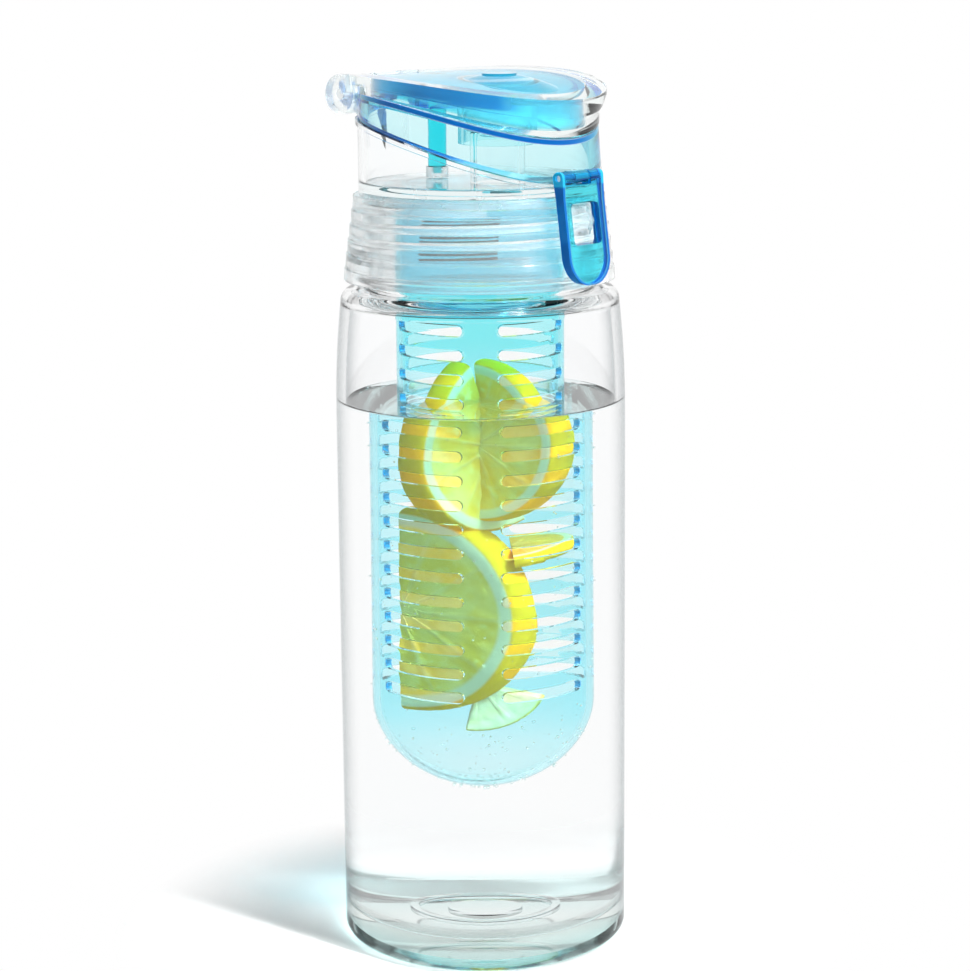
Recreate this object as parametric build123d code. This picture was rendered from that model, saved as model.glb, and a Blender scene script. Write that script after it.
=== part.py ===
from build123d import *
import math
import os

# Fruit infuser water bottle, in millimetres. +Z is up, the origin is the centre of the base,
# the latch is at the front (-Y) and the hinge of the lid is at the back (+Y).

# Bottle body: a clear blown bottle with a thick floor and a narrower threaded neck
body_radius = 37.5
body_wall = 2.4
shoulder_height = 173.2
shoulder_inset = 1.9
shoulder_taper = 19.2
shoulder_blend_share = 0.67
shoulder_corner = 3.0
heel_corner = 3.4
foot_width = 4.1
floor_height = 8.2
floor_corner = 3.6
base_recess_depth = 1.5
base_recess_slope = 2.0
floor_ring_radius = 14.7
floor_ring_width = 1.6
floor_ring_height = 0.7
floor_pip_radius = 7.3
neck_inset = 9.1
neck_wall = 2.2
neck_height = 22.0
neck_root = 1.5
neck_bead_reach = 2.8
neck_bead_height = 1.6
neck_bead_lift = 2.4

# Clearances that repeat
seat_gap = 0.3
pin_play = 0.05

# Screw collar: a ribbed skirt, a deck that closes the neck, and an upper wall up to the lid
collar_lift = 2.2
skirt_wall = 2.1
skirt_spread = 3.0
band_count = 6
band_groove = 0.6
band_groove_depth = 0.55
band_lean = 0.15
band_corner = 0.25
thread_room = 1.6
skirt_flare_wall = 2.3
skirt_flare_height = 5.0
skirt_flare_slope = 3.5
step_drop = 0.4
step_width = 1.35
deck_thickness = 2.0
upper_wall = 1.8
rim_lip = 0.55
rim_lip_height = 1.2
spout_forward = 6.5
spout_radius = 7.0
spout_wall = 1.6
spout_height = 12.4
spout_mouth_round = 0.6
vent_inset = 3.7
vent_bore = 1.2

# The seal between the neck and the collar
seal_thickness = 2.4
seal_width = 3.4

# Infuser basket: hangs inside the neck from a short skirt under the deck
basket_room = 4.5
basket_wall = 1.5
basket_length = 155.4
basket_flange_room = 1.6
basket_flange_height = 1.6
basket_skirt_length = 8.0
basket_skirt_wall = 1.6
slot_start = 5.95
slot_pitch = 6.29
slot_height = 2.9
slot_end_margin = 30.0
narrow_rib_angle = 24.0
slot_angle = 60.0
basket_turn = -47.5

# Side curves of the lid, each as heights at the back, on the axis and at the front of the lid:
# the rim over the collar's step, then each curve over the one below it
rim_lifts = (19.7, 15.0, 3.2)
lid_band_heights = (4.5, 8.5, 10.7)
ring_band_heights = (2.4, 2.9, 5.1)
ring_flare_heights = (2.4, 2.9, 5.3)

# Flip lid: a thin shell with a crown that fills the carry ring
lid_overhang = 0.65
lid_taper = 1.2
lid_wall = 1.9
lid_skin = 2.1
crown_inset = 3.2
crown_drop = 0.6
crown_wall = 1.9
dome_offset = 0.8
dome_margin = 2.7
dome_rise = 1.4
dome_side_drop = 4.2
dome_bulge_share = 0.62
dome_pad_radius = 4.4
dome_pad_height = 0.4
sleeve_room = 1.6
sleeve_wall = 1.4
sleeve_overlap = 3.0
vent_post_radius = 2.4
vent_pad_radius = 2.9
vent_pad_height = 2.6
vent_stub_radius = 1.1
vent_stub_length = 1.6

# Spout plug: a soft stopper inside the sleeve of the lid
plug_room = 1.0
plug_nub_room = 0.8
plug_nub_length = 1.5

# Hinge at the back, shared by the collar, the lid and the carry ring
hinge_reach = 5.75
hinge_drop = 0.5
hinge_pin_radius = 1.4
lug_radius = 3.3
lug_half_width = 4.5
lug_foot_height = 11.0
lug_side_angle = 30.0
lid_knuckle_radius = 3.2
lid_knuckle_width = 4.0
ring_knuckle_radius = 5.1
ring_knuckle_width = 4.3
hinge_side_gap = 0.3

# Carry ring: a clear loop round the crown with a flared lip
ring_overhang = 0.6
ring_flare = 1.9
ring_flare_length = 5.4

# Latch at the front, hinged on the lid and held by a ramped catch on the collar
catch_half_width = 4.2
catch_top_drop = 2.4
catch_lead = 3.4
catch_trail = 3.6
catch_reach = 1.8
catch_root = 1.5
window_side_room = 1.0
window_top_room = 1.3
window_low_room = 1.9
window_corner = 1.2
latch_bar_width = 2.55
latch_thickness = 2.5
latch_head_radius = 1.6
latch_hinge_lift = 2.0
latch_bottom_lift = 1.0
latch_edge_round = 0.5
latch_pin_radius = 0.8
latch_lug_half_width = 2.6
latch_lug_radius = 1.5

# One overrun serves every cut
overrun = 5.0


def raised(curve, heights):
    """A side curve lifted by its own height at the back, on the axis and at the front."""
    return [low + height for low, height in zip(curve, heights)]


# Radii that follow from the sizes above, from the bottle outwards and upwards
half_share = 0.5
shoulder_radius = body_radius - shoulder_inset
straight_height = shoulder_height - shoulder_taper
shoulder_blend = 2 * shoulder_taper**2 * shoulder_blend_share / shoulder_inset
base_recess_radius = body_radius - heel_corner - foot_width
neck_radius = body_radius - neck_inset
neck_bore = neck_radius - neck_wall
neck_bead_radius = neck_radius + neck_bead_reach
skirt_bore = neck_radius + thread_room
skirt_radius_high = skirt_bore + skirt_wall
skirt_radius_low = skirt_radius_high + skirt_spread
upper_wall_radius = skirt_radius_high - step_width
upper_wall_bore = upper_wall_radius - upper_wall
basket_radius = neck_bore - basket_room
basket_bore = basket_radius - basket_wall
basket_flange_radius = neck_bore - basket_flange_room
basket_skirt_radius = basket_bore - seat_gap
basket_skirt_bore = basket_skirt_radius - basket_skirt_wall
vent_back = basket_skirt_bore - vent_inset
spout_bore = spout_radius - spout_wall
sleeve_bore = spout_radius + sleeve_room
sleeve_radius = sleeve_bore + sleeve_wall
lid_radius = upper_wall_radius + lid_overhang
lid_top_radius = lid_radius - lid_taper
crown_radius = lid_top_radius - crown_inset
dome_forward = spout_forward + dome_offset
dome_radius = crown_radius - dome_forward - dome_margin
ring_low_radius = lid_top_radius + ring_overhang
ring_high_radius = ring_low_radius + ring_flare

# Heights that follow, from the shoulder up
neck_top = shoulder_height + neck_height
collar_bottom = shoulder_height + collar_lift
seal_bottom = neck_top + seat_gap
deck_bottom = seal_bottom + seal_thickness + seat_gap
deck_top = deck_bottom + deck_thickness
collar_step = deck_bottom - step_drop
skirt_height = collar_step - collar_bottom
band_height = skirt_height / band_count
basket_top = deck_bottom - seat_gap
basket_dome_centre = basket_top - basket_length + basket_radius
slot_first_height = basket_dome_centre + slot_start
slot_rows = 1 + int((basket_top - slot_end_margin - slot_first_height) / slot_pitch)
spout_top = deck_top + spout_height
sleeve_bottom = spout_top - sleeve_overlap
lid_rim_curve = raised((collar_step, collar_step, collar_step), rim_lifts)
lid_top_curve = raised(lid_rim_curve, lid_band_heights)
ring_step_curve = raised(lid_top_curve, ring_band_heights)
ring_top_curve = raised(ring_step_curve, ring_flare_heights)
total_height = ring_top_curve[1] + overrun

# The hinge and the latch
hinge_back = upper_wall_radius + hinge_reach
hinge_height = lid_top_curve[0] - hinge_drop
lid_knuckle_start = lug_half_width + hinge_side_gap
lid_knuckle_end = lid_knuckle_start + lid_knuckle_width
ring_knuckle_start = lid_knuckle_end + hinge_side_gap
ring_knuckle_end = ring_knuckle_start + ring_knuckle_width
side_reach = hinge_back + ring_knuckle_radius + overrun
latch_hinge_height = lid_rim_curve[2] + latch_hinge_lift
latch_hinge_forward = lid_radius + seat_gap + latch_head_radius
latch_bottom = collar_bottom + latch_bottom_lift
catch_top = collar_step - catch_top_drop
catch_tip = catch_top - catch_lead
catch_foot = catch_tip - catch_trail
window_half_width = catch_half_width + window_side_room
latch_half_width = window_half_width + latch_bar_width


def rounded_wire(corners, place):
    """Edges of a closed outline whose corners (x, y, radius) are rounded."""
    stops = []
    count = len(corners)
    for index, (x, y, radius) in enumerate(corners):
        before = Vector(*corners[index - 1][:2])
        here = Vector(x, y)
        after = Vector(*corners[(index + 1) % count][:2])
        if radius == 0:
            stops.append((here, here, here))
            continue
        inward = (here - before).normalized()
        outward = (after - here).normalized()
        half_turn = math.radians(inward.get_angle(outward)) * half_share
        reach = radius * math.tan(half_turn)
        inside = (outward - inward).normalized()
        middle = here + inside * (radius / math.cos(half_turn) - radius)
        stops.append((here - inward * reach, middle, here + outward * reach))
    edges = []
    for index, (start, middle, end) in enumerate(stops):
        following = stops[(index + 1) % count][0]
        if (start - end).length > 0:
            edges.append(ThreePointArc(place(start), place(middle), place(end)))
        edges.append(Line(place(end), place(following)))
    return edges


def turned(corners):
    """A solid of revolution about Z from an outline of (radius, height, corner radius)."""
    face = make_face(rounded_wire(corners, lambda p: (p.X, 0, p.Y)))
    return revolve(face, Axis.Z)


def side_prism(corners, half_width):
    """A prism across X from a side outline of (y, z, corner radius)."""
    face = make_face(rounded_wire(corners, lambda p: (0, p.X, p.Y)))
    return extrude(face, amount=half_width, dir=(1, 0, 0), both=True)


def tube(outer, inner, low, high, y=0):
    """A plain tube on a vertical axis at y."""
    height = high - low
    place = Pos(0, y, (low + high) / 2)
    solid = place * Cylinder(outer, height)
    if inner > 0:
        solid -= place * Cylinder(inner, height + overrun)
    return solid


def cross_rod(radius, start, end, y, z):
    """A rod along X between start and end."""
    rod = Cylinder(radius, end - start, rotation=(0, 90, 0))
    return Pos((start + end) / 2, y, z) * rod


def block(x_half, y_low, y_high, z_low, z_high):
    """A block centred on X."""
    size = Box(2 * x_half, y_high - y_low, z_high - z_low)
    return Pos(0, (y_low + y_high) / 2, (z_low + z_high) / 2) * size


def ear(half_width, radius, low, high):
    """A prism whose sides run from a circle, as tangents, back to the hinge."""
    turn = math.atan(half_width / hinge_back) + math.acos(radius / math.hypot(half_width, hinge_back))
    side, back = radius * math.sin(turn), radius * math.cos(turn)
    outline = rounded_wire([(-side, back, 0), (side, back, 0), (half_width, hinge_back, 0),
                            (-half_width, hinge_back, 0)], lambda p: (p.X, p.Y, low))
    return extrude(make_face(outline), amount=high - low, dir=(0, 0, 1))


def height_at(curve, y):
    """Height of a side curve at y, on the parabola through its three heights."""
    back, middle, front = curve
    share = y / lid_radius
    return middle + (back - front) / 2 * share + ((back + front) / 2 - middle) * share**2


def below(curve, lift=0):
    """Everything under a side curve, with the curve raised by lift."""
    heights = [height_at(curve, y) + lift for y in (-side_reach, 0, side_reach)]
    start = (0, -side_reach, heights[0])
    end = (0, side_reach, heights[2])
    arc = ThreePointArc(start, (0, 0, heights[1]), end)
    outline = [arc, Line(end, (0, side_reach, 0)), Line((0, side_reach, 0), (0, -side_reach, 0)),
               Line((0, -side_reach, 0), start)]
    return extrude(make_face(outline), amount=side_reach, dir=(1, 0, 0), both=True)


def skirt_radius_at(z):
    """Radius of the line that the bands of the skirt touch."""
    share = (z - collar_bottom) / skirt_height
    return skirt_radius_low + (skirt_radius_high - skirt_radius_low) * share


def make_bottle_body():
    inner = body_radius - body_wall
    shoulder_inner = shoulder_radius - body_wall
    ceiling = shoulder_height - body_wall
    ring_in = floor_ring_radius - floor_ring_width
    ring_top = floor_height + floor_ring_height
    bead_low = shoulder_height + neck_bead_lift
    bead_high = bead_low + neck_bead_height
    bead_round = neck_bead_height / 3
    corners = [
        (0, base_recess_depth, 0),
        (base_recess_radius - base_recess_slope, base_recess_depth, 0),
        (base_recess_radius, 0, 0),
        (body_radius, 0, heel_corner),
        (body_radius, straight_height, shoulder_blend),
        (shoulder_radius, shoulder_height, shoulder_corner),
        (neck_radius, shoulder_height, neck_root),
        (neck_radius, bead_low, 0),
        (neck_bead_radius, bead_low, bead_round),
        (neck_bead_radius, bead_high, bead_round),
        (neck_radius, bead_high, 0),
        (neck_radius, neck_top, neck_wall / 4),
        (neck_bore, neck_top, neck_wall / 4),
        (neck_bore, ceiling, neck_root),
        (shoulder_inner, ceiling, shoulder_corner),
        (inner, straight_height, shoulder_blend),
        (inner, floor_height, floor_corner),
        (floor_ring_radius, floor_height, 0),
        (floor_ring_radius, ring_top, 0),
        (ring_in, ring_top, 0),
        (ring_in, floor_height, 0),
        (floor_pip_radius, floor_height, 0),
        (floor_pip_radius, ring_top, 0),
        (0, ring_top, 0),
    ]
    return turned(corners)


def band_corners():
    """Outline points up the stepped bands of the skirt."""
    points = []
    for index in range(band_count):
        low = collar_bottom + index * band_height
        high = low + band_height
        radius = skirt_radius_at(low + band_height * half_share)
        notch_high = high - band_groove
        following = skirt_radius_at(high + band_height * half_share)
        groove = following - band_groove_depth
        points.append((radius, low, band_corner))
        points.append((radius - band_lean, notch_high, band_corner))
        if index < band_count - 1:
            points.append((groove, notch_high, 0))
            points.append((groove, high, 0))
    return points


def make_collar_shell():
    """Skirt, deck and upper wall in one turned solid, still with a level top."""
    flare_top = collar_bottom + skirt_flare_height
    flare_end = flare_top + skirt_flare_slope
    top = total_height
    corners = band_corners()
    corners += [
        (upper_wall_radius, collar_step - band_groove, 0),
        (upper_wall_radius, top, 0),
        (upper_wall_bore, top, 0),
        (upper_wall_bore, deck_top, upper_wall / 3),
        (0, deck_top, 0),
        (0, deck_bottom, 0),
        (skirt_bore, deck_bottom, 0),
        (skirt_bore, flare_end, 0),
        (skirt_radius_at(flare_top) - skirt_flare_wall, flare_top, 0),
        (skirt_radius_low - skirt_flare_wall, collar_bottom, 0),
    ]
    return turned(corners)


def make_catch():
    """Ramped nose that the window of the latch rides over."""
    def face_forward(z):
        return -(skirt_radius_at(z) + seat_gap)

    corners = [
        (face_forward(catch_top), catch_top, 0),
        (face_forward(catch_tip) - catch_reach, catch_tip, seat_gap),
        (face_forward(catch_foot), catch_foot, 0),
        (face_forward(catch_foot) + catch_root, catch_foot, 0),
        (face_forward(catch_top) + catch_root, catch_top, 0),
    ]
    return side_prism(corners, catch_half_width)


def make_hinge_lug():
    """Bracket that rises from the upper wall to the hinge."""
    root = upper_wall_radius - upper_wall * half_share
    rim = height_at(lid_rim_curve, root) - seat_gap
    angle = math.radians(lug_side_angle)
    across = lug_radius * math.cos(angle)
    along = lug_radius * math.sin(angle)
    corners = [
        (root, rim - lug_foot_height, 0),
        (hinge_back + across, hinge_height - along, 0),
        (hinge_back - across, hinge_height + along, 0),
        (root, rim, 0),
    ]
    eye = cross_rod(lug_radius, -lug_half_width, lug_half_width, hinge_back, hinge_height)
    return side_prism(corners, lug_half_width) + eye


def make_screw_collar():
    shell = make_collar_shell() & below(lid_rim_curve, -seat_gap)
    lip_radius = upper_wall_radius + rim_lip
    lip = tube(lip_radius, upper_wall_bore, collar_step, total_height)
    lip &= below(lid_rim_curve, -seat_gap)
    lip -= below(lid_rim_curve, -seat_gap - rim_lip_height)
    inner_skirt = tube(basket_skirt_radius, basket_skirt_bore,
                       deck_bottom - basket_skirt_length, deck_bottom)
    spout = tube(spout_radius, 0, deck_bottom, spout_top, -spout_forward)
    spout = fillet(spout.edges().group_by(Axis.Z)[-1], spout_mouth_round)
    collar = shell + lip + inner_skirt + spout + make_catch() + make_hinge_lug()
    collar -= tube(spout_bore, 0, deck_bottom - overrun, spout_top + overrun, -spout_forward)
    collar -= tube(vent_bore, 0, deck_bottom - overrun, deck_top + overrun, vent_back)
    collar -= cross_rod(hinge_pin_radius + pin_play, -ring_knuckle_end, ring_knuckle_end,
                        hinge_back, hinge_height)
    return collar


def make_collar_seal():
    """Flat soft washer between the rim of the neck and the deck."""
    outer = skirt_bore - seat_gap
    inner = outer - seal_width
    high = seal_bottom + seal_thickness
    corner = seal_thickness / 4
    return turned([(inner, seal_bottom, corner), (outer, seal_bottom, corner),
                   (outer, high, corner), (inner, high, corner)])


def polar(radius, angle):
    """The point at this radius and angle in degrees."""
    return (radius * math.cos(math.radians(angle)), radius * math.sin(math.radians(angle)))


def make_slot_cutter():
    """One curved slot with round ends, centred on +X at height 0."""
    outer = basket_radius + overrun
    inner = basket_bore * half_share
    half_angle = slot_angle / 2 - math.degrees(slot_height / 2 / basket_radius)
    sector = make_face([
        Line(polar(inner, -half_angle), polar(outer, -half_angle)),
        CenterArc((0, 0), outer, -half_angle, 2 * half_angle),
        Line(polar(outer, half_angle), polar(inner, half_angle)),
        CenterArc((0, 0), inner, half_angle, -2 * half_angle),
    ])
    cutter = extrude(sector, amount=slot_height / 2, both=True)
    for side in (-half_angle, half_angle):
        end = Cylinder(slot_height / 2, outer - inner, rotation=(0, 90, 0))
        cutter += Rot(0, 0, side) * Pos((outer + inner) / 2, 0, 0) * end
    return cutter


def make_basket_shell():
    """A round-ended tube, open at the top."""
    half_right = 45
    outer_middle = polar(basket_radius, -half_right)
    inner_middle = polar(basket_bore, -half_right)
    centre = basket_dome_centre
    face = make_face([
        Line((0, 0, centre - basket_bore), (0, 0, centre - basket_radius)),
        ThreePointArc((0, 0, centre - basket_radius), (outer_middle[0], 0, centre + outer_middle[1]),
                      (basket_radius, 0, centre)),
        Line((basket_radius, 0, centre), (basket_radius, 0, basket_top)),
        Line((basket_radius, 0, basket_top), (basket_bore, 0, basket_top)),
        Line((basket_bore, 0, basket_top), (basket_bore, 0, centre)),
        ThreePointArc((basket_bore, 0, centre), (inner_middle[0], 0, centre + inner_middle[1]),
                      (0, 0, centre - basket_bore)),
    ])
    return revolve(face, Axis.Z)


def make_infuser_basket():
    flange_low = basket_top - basket_flange_height
    corner = basket_flange_height / 4
    flange = turned([(basket_bore, flange_low, 0), (basket_flange_radius, flange_low, corner),
                     (basket_flange_radius, basket_top, corner), (basket_bore, basket_top, 0)])
    cutter = make_slot_cutter()
    first_centre = (narrow_rib_angle + slot_angle) / 2
    facing = basket_turn - 90
    cutters = []
    for row in range(slot_rows):
        place = Pos(0, 0, slot_first_height + row * slot_pitch)
        for side in (0, 180):
            for centre in (-first_centre, first_centre):
                cutters.append(place * Rot(0, 0, facing + side + centre) * cutter)
    return make_basket_shell() + flange - cutters


def make_lid_blank():
    """Outer form of the lid: a tapered wall, the ear at the back, the crown and the dome."""
    low = height_at(lid_rim_curve, -lid_radius)
    high = height_at(lid_top_curve, 0)
    slope = (lid_radius - lid_top_radius) / (high - low)
    foot = low - overrun
    top = high + overrun
    wall = turned([(0, foot, 0), (lid_radius + slope * overrun, foot, 0),
                   (lid_top_radius - slope * overrun, top, 0), (0, top, 0)])
    wall += ear(lid_knuckle_end, lid_top_radius, foot, top)
    wall &= below(lid_top_curve)
    wall -= below(lid_rim_curve)
    crown = tube(crown_radius, 0, height_at(lid_rim_curve, 0), total_height)
    crown &= below(ring_top_curve, -crown_drop)
    crown -= below(lid_top_curve, -lid_skin * half_share)
    return wall + crown + make_dome()


def make_dome():
    """Low dome over the spout, with a small round pad at its crest."""
    crest = height_at(ring_top_curve, -dome_forward) - crown_drop + dome_rise
    side = crest - dome_side_drop
    root = side - lid_skin * half_share
    bulge = (dome_radius + dome_pad_radius) / 2
    bulge_height = side + (crest - side) * dome_bulge_share
    face = make_face([
        Line((0, 0, root), (dome_radius, 0, root)),
        Line((dome_radius, 0, root), (dome_radius, 0, side)),
        ThreePointArc((dome_radius, 0, side), (bulge, 0, bulge_height), (dome_pad_radius, 0, crest)),
        Line((dome_pad_radius, 0, crest), (dome_pad_radius, 0, crest + dome_pad_height)),
        Line((dome_pad_radius, 0, crest + dome_pad_height), (0, 0, crest + dome_pad_height)),
        Line((0, 0, crest + dome_pad_height), (0, 0, root)),
    ])
    return Pos(0, -dome_forward, 0) * revolve(face, Axis.Z)


def make_lid_hollow():
    """The room inside the lid, one wall thickness in from its skin."""
    low = height_at(lid_rim_curve, -lid_radius) - overrun
    wall_room = tube(lid_top_radius - lid_wall, 0, low, total_height)
    wall_room &= below(lid_top_curve, -lid_skin)
    crown_room = tube(crown_radius - crown_wall, 0, low, total_height)
    crown_room &= below(ring_top_curve, -crown_drop - crown_wall)
    return wall_room + crown_room


def make_flip_lid():
    crown_ceiling = below(ring_top_curve, -crown_drop - crown_wall * half_share)
    post_bottom = deck_top + seat_gap + vent_pad_height
    sleeve = tube(sleeve_radius, sleeve_bore, sleeve_bottom, total_height, -spout_forward)
    post = tube(vent_post_radius, 0, post_bottom, total_height, vent_back)
    inner_parts = (sleeve + post) & crown_ceiling
    stub = tube(vent_stub_radius, 0, post_bottom - vent_stub_length, post_bottom + lid_skin, vent_back)
    lid = make_lid_blank() - make_lid_hollow() + inner_parts + stub
    lid -= block(lid_knuckle_start, upper_wall_bore - hinge_side_gap, side_reach, 0, total_height)
    for side in (-1, 1):
        start, end = sorted((side * lid_knuckle_end, side * side_reach))
        lid -= cross_rod(ring_knuckle_radius + seat_gap, start, end, hinge_back, hinge_height)
        start, end = sorted((side * lid_knuckle_start, side * lid_knuckle_end))
        lid += cross_rod(lid_knuckle_radius, start, end, hinge_back, hinge_height)
    lid -= cross_rod(hinge_pin_radius + pin_play, -ring_knuckle_end, ring_knuckle_end,
                     hinge_back, hinge_height)
    lug_root = -(lid_radius - lid_wall * half_share)
    lid += block(latch_lug_half_width, -latch_hinge_forward, lug_root,
                 latch_hinge_height - latch_lug_radius, latch_hinge_height + latch_lug_radius)
    lid += cross_rod(latch_lug_radius, -latch_lug_half_width, latch_lug_half_width,
                     -latch_hinge_forward, latch_hinge_height)
    lid -= cross_rod(latch_pin_radius + pin_play, -latch_half_width, latch_half_width,
                     -latch_hinge_forward, latch_hinge_height)
    return lid


def make_spout_plug():
    """Stopper that fills the sleeve and dips into the mouth of the spout."""
    bottom = spout_top + seat_gap
    ceiling = height_at(ring_top_curve, -spout_forward - sleeve_bore) - crown_drop - crown_wall
    top = ceiling - plug_room
    outer = sleeve_bore - seat_gap
    nub_radius = spout_bore - plug_nub_room
    nub_bottom = bottom - plug_nub_length
    corner = plug_nub_length / 3
    plug = turned([(0, nub_bottom, 0), (nub_radius, nub_bottom, corner), (nub_radius, bottom, 0),
                   (outer, bottom, corner), (outer, top, corner), (0, top, 0)])
    return Pos(0, -spout_forward, 0) * plug


def make_vent_pad():
    """Soft cap on the end of the vent post, over the air hole in the deck."""
    low = deck_top + seat_gap
    high = low + vent_pad_height
    hole_low = high - vent_stub_length - pin_play
    pad = tube(vent_pad_radius, 0, low, high, vent_back)
    return pad - tube(vent_stub_radius + pin_play, 0, hole_low, high + overrun, vent_back)


def make_hinge_pin():
    end = ring_knuckle_end - seat_gap
    return cross_rod(hinge_pin_radius, -end, end, hinge_back, hinge_height)


def make_carry_ring():
    inner = crown_radius + seat_gap
    low_band = tube(ring_low_radius, 0, 0, total_height) & below(ring_step_curve)
    flare_end = height_at(ring_top_curve, -lid_radius)
    flare_start = flare_end - ring_flare_length
    high_band = turned([(0, 0, 0), (ring_low_radius, 0, 0),
                        (ring_low_radius, flare_start, ring_flare_length),
                        (ring_high_radius, flare_end, 0), (ring_high_radius, total_height, 0),
                        (0, total_height, 0)])
    high_band &= below(ring_top_curve)
    high_band -= below(ring_step_curve)
    ring = low_band + high_band
    knuckle = cross_rod(ring_knuckle_radius, -ring_knuckle_end, ring_knuckle_end,
                        hinge_back, hinge_height)
    arms = ear(ring_knuckle_end, ring_low_radius, 0, total_height) & below(ring_top_curve)
    ring += arms
    ring -= below(lid_top_curve, seat_gap)
    ring += knuckle
    ring -= tube(inner, 0, 0, total_height + overrun)
    ring -= block(ring_knuckle_start, lid_radius, side_reach, 0, total_height)
    ring -= cross_rod(hinge_pin_radius + pin_play, -ring_knuckle_end - overrun,
                      ring_knuckle_end + overrun, hinge_back, hinge_height)
    return ring


def front_opening(half_width, low, high, low_corner, high_corner):
    """A prism towards the front with a rounded outline, for trimming or piercing the latch."""
    outline = rounded_wire([(-half_width, low, low_corner), (half_width, low, low_corner),
                            (half_width, high, high_corner), (-half_width, high, high_corner)],
                           lambda p: (p.X, 0, p.Y))
    return extrude(make_face(outline), amount=side_reach, dir=(0, -1, 0))


def make_latch():
    """Flat tab with a window, parallel to the skirt, on a round hinge head."""
    def inner_forward(z):
        return -(skirt_radius_at(z) + 2 * seat_gap)

    head_outer = latch_hinge_forward + latch_head_radius
    corners = [
        (-latch_hinge_forward + latch_head_radius, latch_hinge_height, 0),
        (inner_forward(collar_step), collar_step, 0),
        (inner_forward(latch_bottom), latch_bottom, latch_edge_round),
        (inner_forward(latch_bottom) - latch_thickness, latch_bottom, latch_edge_round),
        (min(inner_forward(collar_step) - latch_thickness, -head_outer), collar_step, 0),
        (-head_outer, latch_hinge_height, 0),
    ]
    latch = side_prism(corners, latch_half_width)
    latch += cross_rod(latch_head_radius, -latch_half_width, latch_half_width,
                       -latch_hinge_forward, latch_hinge_height)
    latch &= front_opening(latch_half_width, latch_bottom, latch_hinge_height + latch_head_radius,
                           latch_half_width - latch_edge_round, latch_edge_round)
    latch -= front_opening(window_half_width, catch_foot - window_low_room,
                           catch_top + window_top_room, window_corner, window_corner)
    slot_low = latch_hinge_height - latch_lug_radius - seat_gap
    latch -= block(latch_lug_half_width + seat_gap, -side_reach, side_reach, slot_low, total_height)
    latch -= cross_rod(latch_pin_radius + pin_play, -side_reach, side_reach,
                       -latch_hinge_forward, latch_hinge_height)
    return latch


def make_latch_pin():
    end = latch_half_width - latch_edge_round
    return cross_rod(latch_pin_radius, -end, end, -latch_hinge_forward, latch_hinge_height)


os.makedirs("parts", exist_ok=True)
makers = {
    "bottle_body": make_bottle_body,
    "screw_collar": make_screw_collar,
    "collar_seal": make_collar_seal,
    "infuser_basket": make_infuser_basket,
    "flip_lid": make_flip_lid,
    "spout_plug": make_spout_plug,
    "vent_pad": make_vent_pad,
    "lid_hinge_pin": make_hinge_pin,
    "carry_ring": make_carry_ring,
    "latch": make_latch,
    "latch_pin": make_latch_pin,
}
for name, make in makers.items():
    export_step(make(), f"parts/{name}.step")
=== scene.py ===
import math
import random

import bmesh
import bpy
from mathutils import Matrix, Vector, noise


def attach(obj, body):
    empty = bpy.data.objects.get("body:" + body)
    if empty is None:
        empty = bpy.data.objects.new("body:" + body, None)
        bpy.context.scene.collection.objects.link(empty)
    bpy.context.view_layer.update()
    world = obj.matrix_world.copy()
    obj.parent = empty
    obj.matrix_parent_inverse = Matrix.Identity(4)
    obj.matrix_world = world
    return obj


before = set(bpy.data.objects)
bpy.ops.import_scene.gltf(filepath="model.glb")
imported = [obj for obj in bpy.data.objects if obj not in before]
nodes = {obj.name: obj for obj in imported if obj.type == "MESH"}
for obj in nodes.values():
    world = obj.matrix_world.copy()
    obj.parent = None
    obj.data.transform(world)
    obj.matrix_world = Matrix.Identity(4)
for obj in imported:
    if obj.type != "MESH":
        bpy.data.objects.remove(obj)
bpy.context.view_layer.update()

MM = 0.001
white = (1.0, 1.0, 1.0, 1.0)
camera_azimuth = -47.5

# Places on the bottle that materials and contents follow, in millimetres and degrees

foot_cast_top, foot_cast_full = 11.0, 3.0
inner_radius = 35.1
floor_top = 8.2
drink_level = 144.0

basket_outer_radius = 21.7
basket_dome_centre = 64.2
basket_neck_low, basket_neck_high = 147.0, 158.0
basket_top_low, basket_top_high = 168.0, 176.0
basket_end_high, basket_end_low = 64.0, 50.0
basket_turn = -47.5
slot_first, slot_pitch = 70.15, 6.29
slot_rows_low, slot_rows_high = 66.0, 170.0
slot_reach_degrees = 18.6

skirt_top = 197.8
barrel_start, barrel_full = 28.0, 33.0

lid_radius = 31.4
rim_heights = (217.5, 212.8, 201.0)
lid_top_heights = (222.0, 221.3, 211.7)
ring_top_heights = (226.8, 227.1, 222.1)
lid_wall_radius = 27.6
ear_start, ear_full = 28.0, 31.5
crown_radius = 23.8
crown_front_y = -25.2
post_y, post_radius = 14.6, 2.6
sleeve_y, sleeve_radius, sleeve_half_wall = -6.5, 9.3, 0.8
dome_y, dome_radius = -7.3, 12.5
latch_lug_y = -32.2

tab_bend = 183.6
tab_edge_inner, tab_edge_outer = 6.5, 7.2
window_middle, window_half = 191.6, 5.2
head_low, head_high = 200.6, 201.4


# Materials

def new_material(name):
    """An empty node material with its output."""
    material = bpy.data.materials.new(name)
    material.use_nodes = True
    material.node_tree.nodes.clear()
    output = material.node_tree.nodes.new("ShaderNodeOutputMaterial")
    return material, material.node_tree, output


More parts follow.
